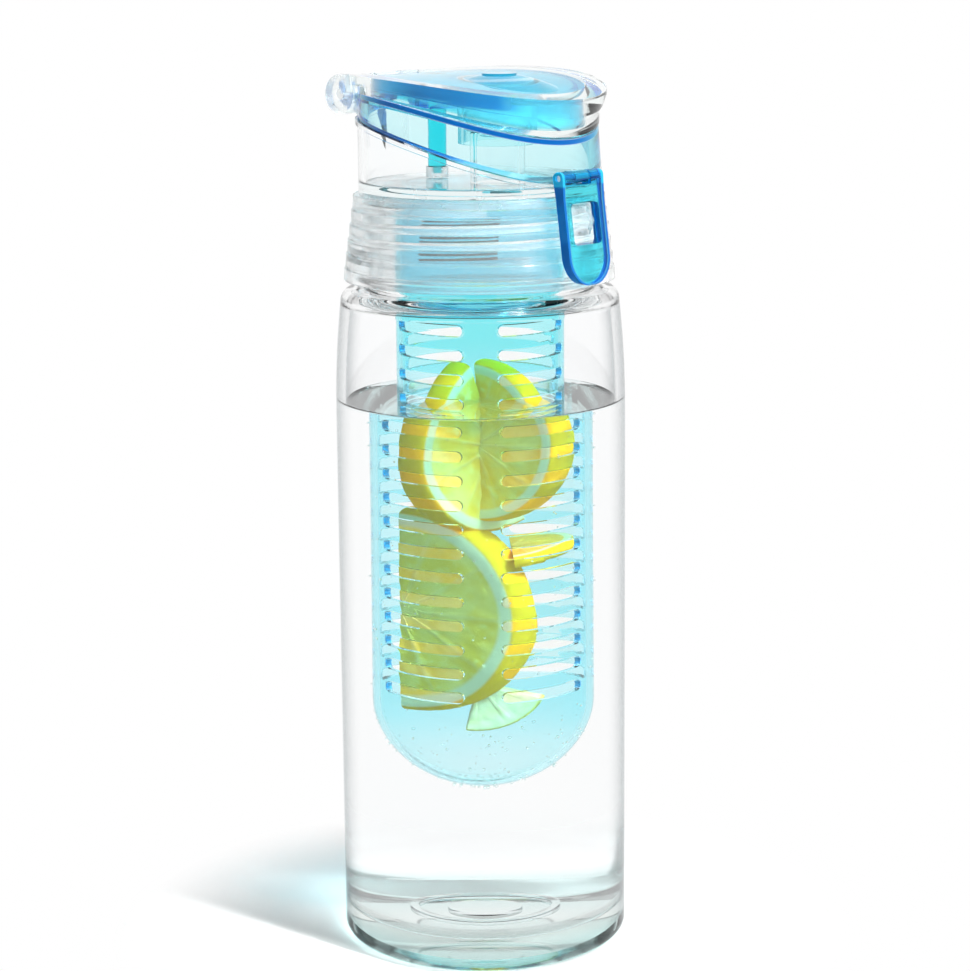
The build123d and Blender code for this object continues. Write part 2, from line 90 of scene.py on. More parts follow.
def grain(tree, scale, detail=3.0, stretch=(1.0, 1.0, 1.0)):
    """Noise over the object's own coordinates."""
    place = tree.nodes.new("ShaderNodeTexCoord")
    mapping = tree.nodes.new("ShaderNodeMapping")
    mapping.inputs["Scale"].default_value = stretch
    texture = tree.nodes.new("ShaderNodeTexNoise")
    texture.inputs["Scale"].default_value = scale
    texture.inputs["Detail"].default_value = detail
    tree.links.new(place.outputs["Object"], mapping.inputs["Vector"])
    tree.links.new(mapping.outputs["Vector"], texture.inputs["Vector"])
    return texture.outputs["Fac"]


def spread(tree, value, low, high):
    """Maps noise onto a range."""
    ranged = tree.nodes.new("ShaderNodeMapRange")
    ranged.inputs["From Min"].default_value = 0.3
    ranged.inputs["From Max"].default_value = 0.7
    ranged.inputs["To Min"].default_value = low
    ranged.inputs["To Max"].default_value = high
    tree.links.new(value, ranged.inputs["Value"])
    return ranged.outputs["Result"]


def blended(tree, factor, first, second):
    """A colour between two by a factor; each is a colour or a socket."""
    mix = tree.nodes.new("ShaderNodeMix")
    mix.data_type = "RGBA"
    colour_a, colour_b, colour_out = mix.inputs[6], mix.inputs[7], mix.outputs[2]
    for socket, colour in ((colour_a, first), (colour_b, second)):
        if isinstance(colour, tuple):
            socket.default_value = colour
        else:
            tree.links.new(colour, socket)
    tree.links.new(factor, mix.inputs[0])
    return colour_out


def mixed_shaders(tree, factor, first, second):
    """A shader between two by a factor."""
    mix = tree.nodes.new("ShaderNodeMixShader")
    for socket, source in zip(mix.inputs, (factor, first, second)):
        tree.links.new(source, socket)
    return mix.outputs[0]


def bumped(tree, height, strength, distance):
    """A bump normal from a height."""
    bump = tree.nodes.new("ShaderNodeBump")
    bump.inputs["Strength"].default_value = strength
    bump.inputs["Distance"].default_value = distance
    tree.links.new(height, bump.inputs["Height"])
    return bump.outputs["Normal"]


def maths(tree, kind, *values):
    """One Math node; its inputs are sockets or numbers."""
    node = tree.nodes.new("ShaderNodeMath")
    node.operation = kind
    for socket, value in zip(node.inputs, values):
        if isinstance(value, (int, float)):
            socket.default_value = value
        else:
            tree.links.new(value, socket)
    return node.outputs[0]


def axes(tree):
    """The object's own x, y and z in millimetres."""
    place = tree.nodes.new("ShaderNodeTexCoord")
    separate = tree.nodes.new("ShaderNodeSeparateXYZ")
    tree.links.new(place.outputs["Object"], separate.inputs[0])
    return [maths(tree, "MULTIPLY", value, 1000.0) for value in separate.outputs]


def height_mm(tree):
    """The object's own z in millimetres."""
    return axes(tree)[2]


def flatness(tree):
    """1 on level surfaces, 0 on upright ones."""
    surface = tree.nodes.new("ShaderNodeNewGeometry")
    separate = tree.nodes.new("ShaderNodeSeparateXYZ")
    tree.links.new(surface.outputs["Normal"], separate.inputs[0])
    return maths(tree, "ABSOLUTE", separate.outputs[2])


def ramp(tree, value, zero_at, one_at):
    """0 on one side, 1 on the other, smooth between."""
    ranged = tree.nodes.new("ShaderNodeMapRange")
    ranged.interpolation_type = "SMOOTHSTEP"
    ranged.inputs["From Min"].default_value = zero_at
    ranged.inputs["From Max"].default_value = one_at
    tree.links.new(value, ranged.inputs["Value"])
    return ranged.outputs["Result"]


def near(tree, value, centre, width, soft):
    """1 where the value is within width of centre, 0 from there on by soft."""
    gap = maths(tree, "ABSOLUTE", maths(tree, "SUBTRACT", value, centre))
    return ramp(tree, gap, width + soft, width)


def side_curve(tree, y, heights):
    """Height of one of the lid's side curves, through its heights at the back, middle and front."""
    back, middle, front = heights
    share = maths(tree, "DIVIDE", y, lid_radius)
    slope = maths(tree, "MULTIPLY_ADD", share, (back + front) / 2 - middle, (back - front) / 2)
    return maths(tree, "MULTIPLY_ADD", share, slope, middle)


def distance_from(tree, across, along, centre_along=0.0):
    """Distance from an axis that stands at 0 across and centre_along."""
    along = maths(tree, "SUBTRACT", along, centre_along)
    squares = maths(tree, "MULTIPLY_ADD", across, across, maths(tree, "MULTIPLY", along, along))
    return maths(tree, "SQRT", squares)


def turned_away(tree, start):
    """1 where an upright glass wall is seen along its surface, where painted dark shade goes; start is
    where that begins.
    """
    weight = tree.nodes.new("ShaderNodeLayerWeight")
    weight.inputs["Blend"].default_value = 0.5
    upright = ramp(tree, flatness(tree), 0.5, 0.2)
    return maths(tree, "MULTIPLY", ramp(tree, weight.outputs["Facing"], start, 0.92), upright)


def clear_material(name, tint, shade, ior, rough, bump_depth, bump_scale, absorbed=None, density=0.0,
                   lamp_tint=white, marks=None, frost_and_shade_milk=None, gleam=white, limb=None, limb_start=0.52):
    """Clear plastic or water: bends light, lets lamps through, and darkens with depth.
    tint and shade are its colours; absorbed and density darken it with depth; lamp_tint colours its
    shadow at each surface; marks gives (mask, colour) pairs laid over the tint, painted shade among them;
    frost_and_shade_milk gives a mask, its roughness and its milkiness, which is frost on some parts and
    lets painted shade show on others; gleam tints reflections; limb is painted dark shade on upright
    walls where they turn away from the eye, from limb_start on."""
    material, tree, output = new_material(name)
    shader = tree.nodes.new("ShaderNodeBsdfPrincipled")
    shader.inputs["Transmission Weight"].default_value = 1.0
    shader.inputs["Specular Tint"].default_value = gleam
    shader.inputs["IOR"].default_value = ior
    broad = grain(tree, bump_scale, 2.0)
    fine = grain(tree, bump_scale * 14.0, 4.0)
    colour = blended(tree, broad, tint, shade)
    for mask, mark in (marks(tree) if marks else []):
        colour = blended(tree, mask, colour, mark)
    if limb:
        colour = blended(tree, turned_away(tree, limb_start), colour, limb)
    gloss = spread(tree, fine, rough * 0.5, rough * 1.5)
    if frost_and_shade_milk:
        mask, frost_rough, milk = frost_and_shade_milk(tree)
        gloss = maths(tree, "MULTIPLY_ADD", mask, frost_rough, gloss)
        tree.links.new(maths(tree, "MULTIPLY_ADD", mask, -milk, 1.0), shader.inputs["Transmission Weight"])
    tree.links.new(colour, shader.inputs["Base Color"])
    tree.links.new(gloss, shader.inputs["Roughness"])
    tree.links.new(bumped(tree, broad, 1.0, bump_depth), shader.inputs["Normal"])
    through = tree.nodes.new("ShaderNodeBsdfTransparent")
    through.inputs["Color"].default_value = lamp_tint
    path = tree.nodes.new("ShaderNodeLightPath")
    surface = mixed_shaders(tree, path.outputs["Is Shadow Ray"], shader.outputs[0], through.outputs[0])
    tree.links.new(surface, output.inputs["Surface"])
    if absorbed:
        volume = tree.nodes.new("ShaderNodeVolumeAbsorption")
        volume.inputs["Color"].default_value = absorbed
        volume.inputs["Density"].default_value = density
        tree.links.new(volume.outputs[0], output.inputs["Volume"])
    return material


def solid_material(name, tint, shade, rough, scale, bump_depth, metallic=0.0, transmission=0.0,
                   stretch=(1.0, 1.0, 1.0)):
    """Silicone or metal with variation in colour, gloss and surface."""
    material, tree, output = new_material(name)
    shader = tree.nodes.new("ShaderNodeBsdfPrincipled")
    shader.inputs["Metallic"].default_value = metallic
    shader.inputs["Transmission Weight"].default_value = transmission
    mottle = grain(tree, scale, 4.0, stretch)
    tree.links.new(blended(tree, mottle, tint, shade), shader.inputs["Base Color"])
    tree.links.new(spread(tree, mottle, rough * 0.8, rough * 1.2), shader.inputs["Roughness"])
    tree.links.new(bumped(tree, mottle, 0.6, bump_depth), shader.inputs["Normal"])
    tree.links.new(shader.outputs[0], output.inputs["Surface"])
    return material


def body_marks(tree):
    """A sea-green cast in the thick foot."""
    return [(ramp(tree, height_mm(tree), foot_cast_top, foot_cast_full), (0.52, 0.8, 0.8, 1))]


def water_surface_shade(tree):
    """Painted grey shade on the surface of the drink."""
    return [(ramp(tree, height_mm(tree), drink_level - 0.3, drink_level - 0.05), (0.9, 0.94, 0.94, 1))]


def collar_frost(tree):
    """The ribbed skirt is milky, the upper wall clear."""
    return ramp(tree, height_mm(tree), skirt_top + 0.4, skirt_top - 0.4), 0.12, 0.08


def ring_frost(tree):
    """The barrels at the hinge are milky."""
    return ramp(tree, axes(tree)[1], barrel_start, barrel_full), 0.22, 0.22


def above_curve(tree, heights):
    """Height over one of the lid's side curves."""
    x, y, z = axes(tree)
    return maths(tree, "SUBTRACT", z, side_curve(tree, y, heights))


def lid_edges(tree):
    """The edges of the lid's wall, where deep-blue shade is painted for the light that runs along them."""
    x, y, z = axes(tree)
    outside = ramp(tree, distance_from(tree, x, y), lid_wall_radius, lid_wall_radius + 0.6)
    top = near(tree, above_curve(tree, lid_top_heights), -0.6, 0.45, 0.45)
    rim = near(tree, above_curve(tree, rim_heights), 0.05, 0.12, 0.2)
    return maths(tree, "MULTIPLY", maths(tree, "MAXIMUM", top, rim), outside)


def lid_ear(tree):
    """The ear that runs back to the hinge, where deep-blue shade is painted."""
    return maths(tree, "MULTIPLY", ramp(tree, axes(tree)[1], ear_start, ear_full), 0.7)


def crown_edge(tree):
    """The upper edge of the crown, inside the ring, where deep-blue shade is painted; it runs out towards
    the front.
    """
    x, y, z = axes(tree)
    edge = near(tree, above_curve(tree, ring_top_heights), -2.2, 1.3, 1.0)
    band = maths(tree, "MULTIPLY", edge, ramp(tree, y, crown_front_y, crown_front_y + 4.2))
    outside = ramp(tree, distance_from(tree, x, y), crown_radius, crown_radius + 0.8)
    return maths(tree, "MULTIPLY", band, outside)


def lid_frost_and_shade_milk(tree):
    """The painted deep-blue shade on the edges and ear shows instead of what is behind them, and the crown
    is a little cloudy.
    """
    edges = maths(tree, "MAXIMUM", lid_edges(tree), lid_ear(tree))
    crown = maths(tree, "MULTIPLY", ramp(tree, above_curve(tree, lid_top_heights), 0.8, 2.0), 0.3)
    crown = maths(tree, "MAXIMUM", crown, maths(tree, "MULTIPLY", crown_edge(tree), 0.75))
    return maths(tree, "MAXIMUM", edges, crown), 0.0, 0.95


def lid_marks(tree):
    """Bright crown, and painted deep-blue shade where light runs along the edges of the wall, the ear and
    the crown's upper edge.
    """
    x, y, z = axes(tree)
    above_top = above_curve(tree, lid_top_heights)
    post = near(tree, distance_from(tree, x, y, post_y), 0.0, post_radius, 0.3)
    sleeve = near(tree, distance_from(tree, x, y, sleeve_y), sleeve_radius, sleeve_half_wall, 0.3)
    lug = ramp(tree, y, latch_lug_y, latch_lug_y - 0.6)
    dome = near(tree, distance_from(tree, x, y, dome_y), 0.0, dome_radius, 1.0)
    edge = crown_edge(tree)
    # painted deep-blue shade: the crown's upper edge, the lid's edges and the ear
    return [(ramp(tree, above_top, 0.3, 1.2), (0.13, 0.7, 0.84, 1)),
            (maths(tree, "MULTIPLY", dome, ramp(tree, above_top, 1.0, 2.0)), (0.08, 0.6, 0.78, 1)),
            (sleeve, (0.92, 1.0, 1.0, 1)),
            (post, (0.06, 0.8, 0.88, 1)),
            (edge, (0.0, 0.18, 0.46, 1)),
            (maths(tree, "MULTIPLY", edge, ramp(tree, y, -6.0, 8.0)), (0.01, 0.5, 0.82, 1)),
            (lid_edges(tree), (0.0, 0.1, 0.4, 1)),
            (lid_ear(tree), (0.0, 0.22, 0.7, 1)),
            (lug, (0.05, 0.6, 0.85, 1))]


def latch_rim(tree):
    """The outer edge of the tab, round its lower end, where deep-blue shade is painted."""
    x, y, z = axes(tree)
    below_bend = maths(tree, "MINIMUM", maths(tree, "SUBTRACT", z, tab_bend), 0.0)
    return ramp(tree, distance_from(tree, x, below_bend), tab_edge_inner, tab_edge_outer)


def latch_shade_milk(tree):
    """Painted deep-blue shade on the outer edge shows instead of what is behind it."""
    return latch_rim(tree), 0.0, 0.85


def latch_marks(tree):
    """Painted deep-blue shade along the edges of the tab and its window, and a brighter head."""
    x, y, z = axes(tree)
    window_side = near(tree, maths(tree, "ABSOLUTE", x), window_half, 0.25, 0.3)
    window_span = near(tree, z, window_middle, window_half, 0.3)
    return [(maths(tree, "MULTIPLY", window_side, window_span), (0.05, 0.6, 0.75, 1)),
            (latch_rim(tree), (0.0, 0.13, 0.5, 1)),
            (ramp(tree, z, head_low, head_high), (0.02, 0.5, 0.85, 1))]


def slot_ends(tree):
    """The round ends of the slots, weaker on the half of the basket turned from the photo's camera."""
    x, y, z = axes(tree)
    azimuth = maths(tree, "DEGREES", maths(tree, "ARCTAN2", y, x))
    off_facing = maths(tree, "SUBTRACT", azimuth, basket_turn - 90.0)
    facing = maths(tree, "ABSOLUTE", maths(tree, "WRAP", off_facing, 180.0, -180.0))
    from_side = maths(tree, "ABSOLUTE", maths(tree, "SUBTRACT", facing, 90.0))
    row = maths(tree, "DIVIDE", maths(tree, "SUBTRACT", z, slot_first), slot_pitch)
    off_row = maths(tree, "ABSOLUTE", maths(tree, "SUBTRACT", row, maths(tree, "ROUND", row)))
    at_end = near(tree, from_side, slot_reach_degrees, 0.6, 1.1)
    # deep-blue shade is painted at these slot ends
    ends = maths(tree, "MULTIPLY", at_end, ramp(tree, off_row, 0.25, 0.07))
    strength = maths(tree, "MULTIPLY_ADD", ramp(tree, facing, 96.0, 90.0), 0.6, 0.4)
    ends = maths(tree, "MULTIPLY", ends, strength)
    inside_rows = maths(tree, "MULTIPLY", ramp(tree, z, slot_rows_low, slot_rows_low + 1.0),
                        ramp(tree, z, slot_rows_high, slot_rows_high - 1.0))
    return maths(tree, "MULTIPLY", ends, inside_rows)


def basket_shade_milk(tree):
    """Painted deep-blue shade shows at the slot ends."""
    return slot_ends(tree), 0.0, 0.75


def basket_marks(tree):
    """Stronger blue above the drink, paler in the round end, and painted deep-blue shade at the ends of
    the slots.
    """
    z = height_mm(tree)
    return [(ramp(tree, z, basket_neck_low, basket_neck_high), (0.52, 0.95, 0.97, 1)),
            (ramp(tree, z, basket_top_low, basket_top_high), (0.2, 0.77, 0.88, 1)),
            (ramp(tree, z, basket_end_high, basket_end_low), (0.93, 0.995, 1.0, 1)),
            (slot_ends(tree), (0.01, 0.42, 0.86, 1))]


def thread_flanks(tree):
    """The flanks of the turns, where dark shade is painted."""
    return ramp(tree, flatness(tree), 0.35, 0.6)


def thread_marks(tree):
    """Painted dark shade on the flanks, as the turns show through the collar."""
    return [(thread_flanks(tree), (0.01, 0.03, 0.035, 1))]


def thread_shade_milk(tree):
    """The painted dark shade on the flanks shows instead of what is behind them; the crests stay clear."""
    return thread_flanks(tree), 0.0, 0.95


blue_gleam = (0.2, 0.65, 0.9, 1)
# The limb colours of body_clear and lid_blue are painted dark shade on upright walls seen edge-on.
body_clear = clear_material(
    "body_clear", tint=white, shade=(0.985, 0.99, 1.0, 1), ior=1.35, rough=0.01,
    bump_depth=0.05 * MM, bump_scale=22.0, absorbed=(0.9, 0.92, 0.9, 1), density=30.0,
    lamp_tint=(0.6, 0.61, 0.61, 1), marks=body_marks, limb=(0.14, 0.18, 0.2, 1))
collar_clear = clear_material(
    "collar_clear", tint=white, shade=(0.97, 0.985, 0.99, 1), ior=1.28, rough=0.03,
    bump_depth=0.05 * MM, bump_scale=60.0, absorbed=(0.8, 0.9, 0.9, 1), density=12.0,
    lamp_tint=(0.9, 0.9, 0.9, 1), frost_and_shade_milk=collar_frost)
ring_clear = clear_material(
    "ring_clear", tint=white, shade=(0.97, 0.985, 0.98, 1), ior=1.4, rough=0.04,
    bump_depth=0.05 * MM, bump_scale=60.0, absorbed=(0.8, 0.9, 0.88, 1), density=25.0,
    lamp_tint=(0.85, 0.86, 0.86, 1), frost_and_shade_milk=ring_frost, gleam=(0.45, 0.5, 0.52, 1))
lid_blue = clear_material(
    "lid_blue", tint=(0.93, 1.0, 1.0, 1), shade=(0.86, 0.985, 1.0, 1), ior=1.42, rough=0.03,
    bump_depth=0.04 * MM, bump_scale=70.0, absorbed=(0.04, 0.84, 0.9, 1), density=120.0,
    lamp_tint=(0.6, 0.78, 0.82, 1), marks=lid_marks, frost_and_shade_milk=lid_frost_and_shade_milk, gleam=blue_gleam,
    limb=(0.0, 0.28, 0.44, 1), limb_start=0.3)
latch_blue = clear_material(
    "latch_blue", tint=(0.24, 0.9, 0.94, 1), shade=(0.2, 0.86, 0.92, 1), ior=1.42, rough=0.03,
    bump_depth=0.04 * MM, bump_scale=70.0, absorbed=(0.02, 0.8, 0.88, 1), density=260.0,
    lamp_tint=(0.5, 0.75, 0.8, 1), marks=latch_marks, frost_and_shade_milk=latch_shade_milk, gleam=blue_gleam)
basket_blue = clear_material(
    "basket_blue", tint=(0.73, 0.97, 1.0, 1), shade=(0.67, 0.955, 0.99, 1), ior=1.13, rough=0.03,
    bump_depth=0.05 * MM, bump_scale=80.0, absorbed=(0.06, 0.84, 0.93, 1), density=75.0,
    lamp_tint=(0.92, 0.95, 0.96, 1), marks=basket_marks, frost_and_shade_milk=basket_shade_milk)
water_clear = clear_material(
    "water_clear", tint=white, shade=(0.995, 0.995, 0.99, 1), ior=1.33, rough=0.0,
    bump_depth=0.03 * MM, bump_scale=30.0, absorbed=(0.95, 0.97, 0.96, 1), density=1.5,
    lamp_tint=(0.94, 0.94, 0.94, 1), marks=water_surface_shade)
thread_clear = clear_material(
    "thread_clear", tint=white, shade=(0.97, 0.99, 0.99, 1), ior=1.35, rough=0.02,
    bump_depth=0.03 * MM, bump_scale=60.0, marks=thread_marks, frost_and_shade_milk=thread_shade_milk)
silicone = solid_material(
    "silicone", tint=(0.97, 0.99, 0.99, 1), shade=(0.9, 0.96, 0.97, 1), rough=0.3, scale=300.0,
    bump_depth=0.03 * MM, transmission=0.92)
pin_metal = solid_material(
    "pin_metal", tint=(0.85, 0.87, 0.88, 1), shade=(0.75, 0.77, 0.78, 1), rough=0.3, scale=500.0,
    bump_depth=0.02 * MM, metallic=1.0, stretch=(0.05, 1.0, 1.0))

looks = {
    "bottle_body": body_clear,
    "screw_collar": collar_clear,
    "collar_seal": silicone,
    "infuser_basket": basket_blue,
    "flip_lid": lid_blue,
    "spout_plug": silicone,
    "vent_pad": silicone,
    "lid_hinge_pin": pin_metal,
    "carry_ring": ring_clear,
    "latch": latch_blue,
    "latch_pin": pin_metal,
}
for name, look in looks.items():
    for slot in nodes[name].material_slots:
        slot.material = look


# Pieces

def add_object(name, mesh, material, body, place=Matrix.Identity(4)):
    """Puts a finished mesh in the scene, smooth apart from its sharp edges, riding on a body."""
    mesh.polygons.foreach_set("use_smooth", [True] * len(mesh.polygons))
    mesh.set_sharp_from_angle(angle=math.radians(35.0))
    mesh.materials.append(material)
    piece = bpy.data.objects.new(name, mesh)
    bpy.context.scene.collection.objects.link(piece)
    piece.matrix_world = place
    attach(piece, body)


def finished(build, name):
    """A mesh datablock from a bmesh."""
    data = bpy.data.meshes.new(name)
    build.to_mesh(data)
    build.free()
    return data


def stitch(build, first, second, closed=False):
    """Faces between two chains of vertices; corners that are one vertex are taken once."""
    for index in range(len(first) - (0 if closed else 1)):
        following = (index + 1) % len(first)
        corners = list(dict.fromkeys([first[index], first[following], second[following], second[index]]))
        if len(corners) > 2:
            build.faces.new(corners)


def arc_points(centre, radius, start, end, steps):
    """Points (r, z) along an arc, angles in degrees."""
    points = []
    for index in range(steps + 1):
        angle = math.radians(start + (end - start) * index / steps)
        points.append((centre[0] + radius * math.cos(angle), centre[1] + radius * math.sin(angle)))
    return points


def turned_mesh(outline, around):
    """A closed solid of revolution from points (r, z) that start and end on the axis."""
    build = bmesh.new()
    rings = []
    for radius, height in outline:
        if radius < 1e-7:
            rings.append([build.verts.new((0, 0, height))] * around)
            continue
        angles = [2 * math.pi * step / around for step in range(around)]
        rings.append([build.verts.new((radius * math.cos(angle), radius * math.sin(angle), height))
                      for angle in angles])
    for low, high in zip(rings, rings[1:]):
        stitch(build, low, high, closed=True)
    bmesh.ops.recalc_face_normals(build, faces=build.faces)
    return build


# Water: fills the bottle a hair into its wall, so that no film of air shows between them

water_level = drink_level * MM
wall_overlap = 0.08 * MM
floor_corner = 3.6 * MM
meniscus = 0.7 * MM
meniscus_width = 3.5 * meniscus


def water_outline():
    """Points (r, z) of the drink: up from the floor, along the wall, and in over the meniscus."""
    outer = inner_radius * MM + wall_overlap
    low = floor_top * MM - wall_overlap
    points = [(0, low), (outer * 0.5, low)]
    points += arc_points((outer - floor_corner, low + floor_corner), floor_corner, -90, 0, 8)
    points += [(outer, water_level * share) for share in (0.3, 0.6, 0.9)]
    points += [(outer, water_level + meniscus)]
    for index in range(1, 9):
        share = index / 8
        points.append((outer - meniscus_width * share, water_level + meniscus * (1 - share) ** 2.5))
    points += [(outer * 0.5, water_level), (0, water_level)]
    return points


def add_bubble(build, centre, radius):
    """A ball of air in the water: its faces look inwards."""
    made = bmesh.ops.create_icosphere(build, subdivisions=2, radius=radius,
                                      matrix=Matrix.Translation(centre))
    faces = {face for vert in made["verts"] for face in vert.link_faces}
    bmesh.ops.reverse_faces(build, faces=list(faces))


def add_bubbles(build):
    """Bubbles that cling to the basket: on its round end, and on its side below the surface."""
    dice = random.Random(7)
    basket_radius = basket_outer_radius * MM
    dome_centre = basket_dome_centre * MM
    for _ in range(150):
        azimuth = dice.uniform(-math.pi, math.pi)
        slope = math.radians(dice.uniform(5, 85))
        size = dice.uniform(0.12, 0.42) * MM
        reach = basket_radius + size * 1.1
        level_reach = reach * math.cos(slope)
        add_bubble(build, (level_reach * math.cos(azimuth), level_reach * math.sin(azimuth),
                           dome_centre - reach * math.sin(slope)), size)
    for _ in range(160):
        azimuth = dice.uniform(-math.pi, math.pi)
        size = dice.uniform(0.1, 0.3) * MM
        reach = basket_radius + size * 1.1
        height = dice.uniform(dome_centre, water_level - 4 * MM)
        add_bubble(build, (reach * math.cos(azimuth), reach * math.sin(azimuth), height), size)


water = turned_mesh(water_outline(), around=192)
add_bubbles(water)
add_object("water", finished(water, "water"), water_clear, "bottle")


# Fruit: half wheels of lemon in the basket, placed in the camera's own right and away directions

view_turn = math.radians(camera_azimuth)
view_right = Vector((math.cos(view_turn), math.sin(view_turn), 0.0))
view_away = Vector((-math.sin(view_turn), math.cos(view_turn), 0.0))
spoke_step = 36.0
flesh_share = 0.82
rim_share = 0.94


def citrus_material(name, radius, flesh_low, flesh_high, pith=(0.88, 0.88, 0.55, 1),
                    peel=(1.0, 0.58, 0.01, 1)):
    """Flesh with spokes, a pale pith ring and a pored peel, from the slice's own radius and angle."""
    material, tree, output = new_material(name)
    shader = tree.nodes.new("ShaderNodeBsdfPrincipled")
    x, y, z = axes(tree)
    reach = maths(tree, "DIVIDE", distance_from(tree, x, z), radius)
    angle = maths(tree, "DIVIDE", maths(tree, "DEGREES", maths(tree, "ARCTAN2", z, x)), spoke_step)
    off_spoke = maths(tree, "ABSOLUTE", maths(tree, "SUBTRACT", angle, maths(tree, "ROUND", angle)))
    spoke = ramp(tree, maths(tree, "MULTIPLY", off_spoke, reach), 0.05, 0.01)
    core = ramp(tree, reach, 0.13, 0.06)
    streaks = grain(tree, 420.0, 3.0)
    broad = grain(tree, 110.0, 2.0)
    flesh = blended(tree, ramp(tree, broad, 0.35, 0.65), flesh_low, flesh_high)
    flesh = blended(tree, ramp(tree, streaks, 0.5, 0.75), flesh, flesh_high)
    veins = maths(tree, "MULTIPLY", maths(tree, "MAXIMUM", spoke, core), 0.15)
    flesh = blended(tree, veins, flesh, pith)
    flesh = blended(tree, ramp(tree, reach, 0.81, 0.86), flesh, pith)
    flesh = blended(tree, ramp(tree, reach, 0.93, 0.96), flesh, peel)
    tree.links.new(flesh, shader.inputs["Base Color"])
    tree.links.new(spread(tree, streaks, 0.3, 0.5), shader.inputs["Roughness"])
    tree.links.new(bumped(tree, streaks, 0.5, 0.3 * MM), shader.inputs["Normal"])
    shader.inputs["Transmission Weight"].default_value = 0.12
    shader.inputs["IOR"].default_value = 1.06
    tree.links.new(shader.outputs[0], output.inputs["Surface"])
    return material


def citrus_mesh(name, radius, thickness, seed, span):
    """Part of a wheel of citrus about local Y: flesh sunk between spokes, raised pith and round peel.
    Its angles run from -span to span about local +X."""
    build = bmesh.new()
    half = thickness / 2
    shift = Vector((seed * 7.3, seed * 3.1, seed * 5.7))
    centres = [build.verts.new((0.0, -half * 0.8, 0.0)), build.verts.new((0.0, half * 0.8, 0.0))]

    def lumps(at, size, depth):
        return noise.noise(at / (size * MM) + shift) * depth * MM

    def face_chain(angle, off_spoke, side):
        chain = []
        for index in range(1, 21):
            share = index / 20 * rim_share
            in_flesh = share < flesh_share
            reach = radius * share
            at = Vector((reach * math.cos(angle), side * half, reach * math.sin(angle)))
            rough = lumps(at, 1.6, 0.28)
            sunk = 0.18 * MM if in_flesh and off_spoke < 0.44 else 0.0
            height = side * (half - sunk + (rough if in_flesh else rough * 0.3)) + lumps(at, 16, 1.2)
            chain.append(build.verts.new((at.x, height, at.z)))
        return chain

    def peel_chain(angle):
        chain = []
        for step in range(1, 8):
            tilt = math.radians(-90 + 180 * step / 8)
            reach = radius * (rim_share + (1 - rim_share) * math.cos(tilt))
            at = Vector((reach * math.cos(angle), half * math.sin(tilt), reach * math.sin(angle)))
            pores = lumps(at, 0.9, 0.1)
            chain.append(build.verts.new((at.x + pores * math.cos(angle), at.y + lumps(at, 16, 1.2),
                                          at.z + pores * math.sin(angle))))
        return chain

    chains = []
    turns = int(span / 2)
    for turn in range(-turns, turns + 1):
        angle = math.radians(span * turn / turns)
        off_spoke = abs((math.degrees(angle) / spoke_step) % 1.0 - 0.5)
        chains.append([centres[0]] + face_chain(angle, off_spoke, -1) + peel_chain(angle)
                      + face_chain(angle, off_spoke, 1)[::-1] + [centres[1]])
    for first, second in zip(chains, chains[1:]):
        stitch(build, first, second)
    for chain in (chains[0], chains[-1]):
        build.faces.new(chain)
    bmesh.ops.recalc_face_normals(build, faces=build.faces)
    return finished(build, name)


def add_citrus(name, look, seed, radius, thickness, right, away, height, yaw, roll=0.0, tip=0.0,
               span=90.0):
    """A slice in millimetres, whose round side points yaw degrees from the camera's right."""
    centre = (view_right * right + view_away * away) * MM + Vector((0, 0, height * MM))
    place = (Matrix.Translation(centre) @ Matrix.Rotation(view_turn + math.radians(yaw), 4, "Z")
             @ Matrix.Rotation(math.radians(roll), 4, "Y") @ Matrix.Rotation(math.radians(tip), 4, "X"))
    mesh = citrus_mesh(name, radius * MM, thickness * MM, seed, span)
    add_object(name, mesh, look, "infuser", place)


lemon_large = citrus_material("lemon_large", 27.5, (0.96, 0.72, 0.07, 1), (1.0, 0.86, 0.22, 1))
lemon_medium = citrus_material("lemon_medium", 23.0, (1.0, 0.68, 0.06, 1), (1.0, 0.84, 0.22, 1))
lemon_small = citrus_material("lemon_small", 20.5, (1.0, 0.68, 0.06, 1), (1.0, 0.84, 0.22, 1))
lemon_bit = citrus_material("lemon_bit", 12.0, (0.98, 0.5, 0.05, 1), (0.98, 0.62, 0.1, 1))
lemon_pale = citrus_material("lemon_pale", 13.0, (0.85, 0.85, 0.4, 1), (0.9, 0.9, 0.6, 1),
                             peel=(0.85, 0.8, 0.2, 1))
add_citrus("lemon_lower", lemon_large, 1, radius=27.5, thickness=8.6,
           right=-13.0, away=11.4, height=87.7, yaw=-35.6)
add_citrus("lemon_upper_left", lemon_medium, 2, radius=23.0, thickness=7.0,
           right=-0.2, away=8.3, height=132.0, yaw=-130.5, roll=22.0)
add_citrus("lemon_upper_right", lemon_small, 3, radius=20.5, thickness=7.0,
           right=0.8, away=5.6, height=133.0, yaw=-36.9)
add_citrus("lemon_flat", lemon_bit, 4, radius=12.0, thickness=3.0,
           right=5.6, away=5.7, height=104.4, yaw=4.0, roll=-6.0, tip=-86.0)
add_citrus("lemon_wedge", lemon_pale, 5, radius=13.0, thickness=5.0,
           right=-1.0, away=7.5, height=68.5, yaw=0.0, roll=60.0, span=40.0)


# Threads: turns on the neck, and turns in the collar's bore between them

thread_pitch = 4.15 * MM
steps_per_turn = 72


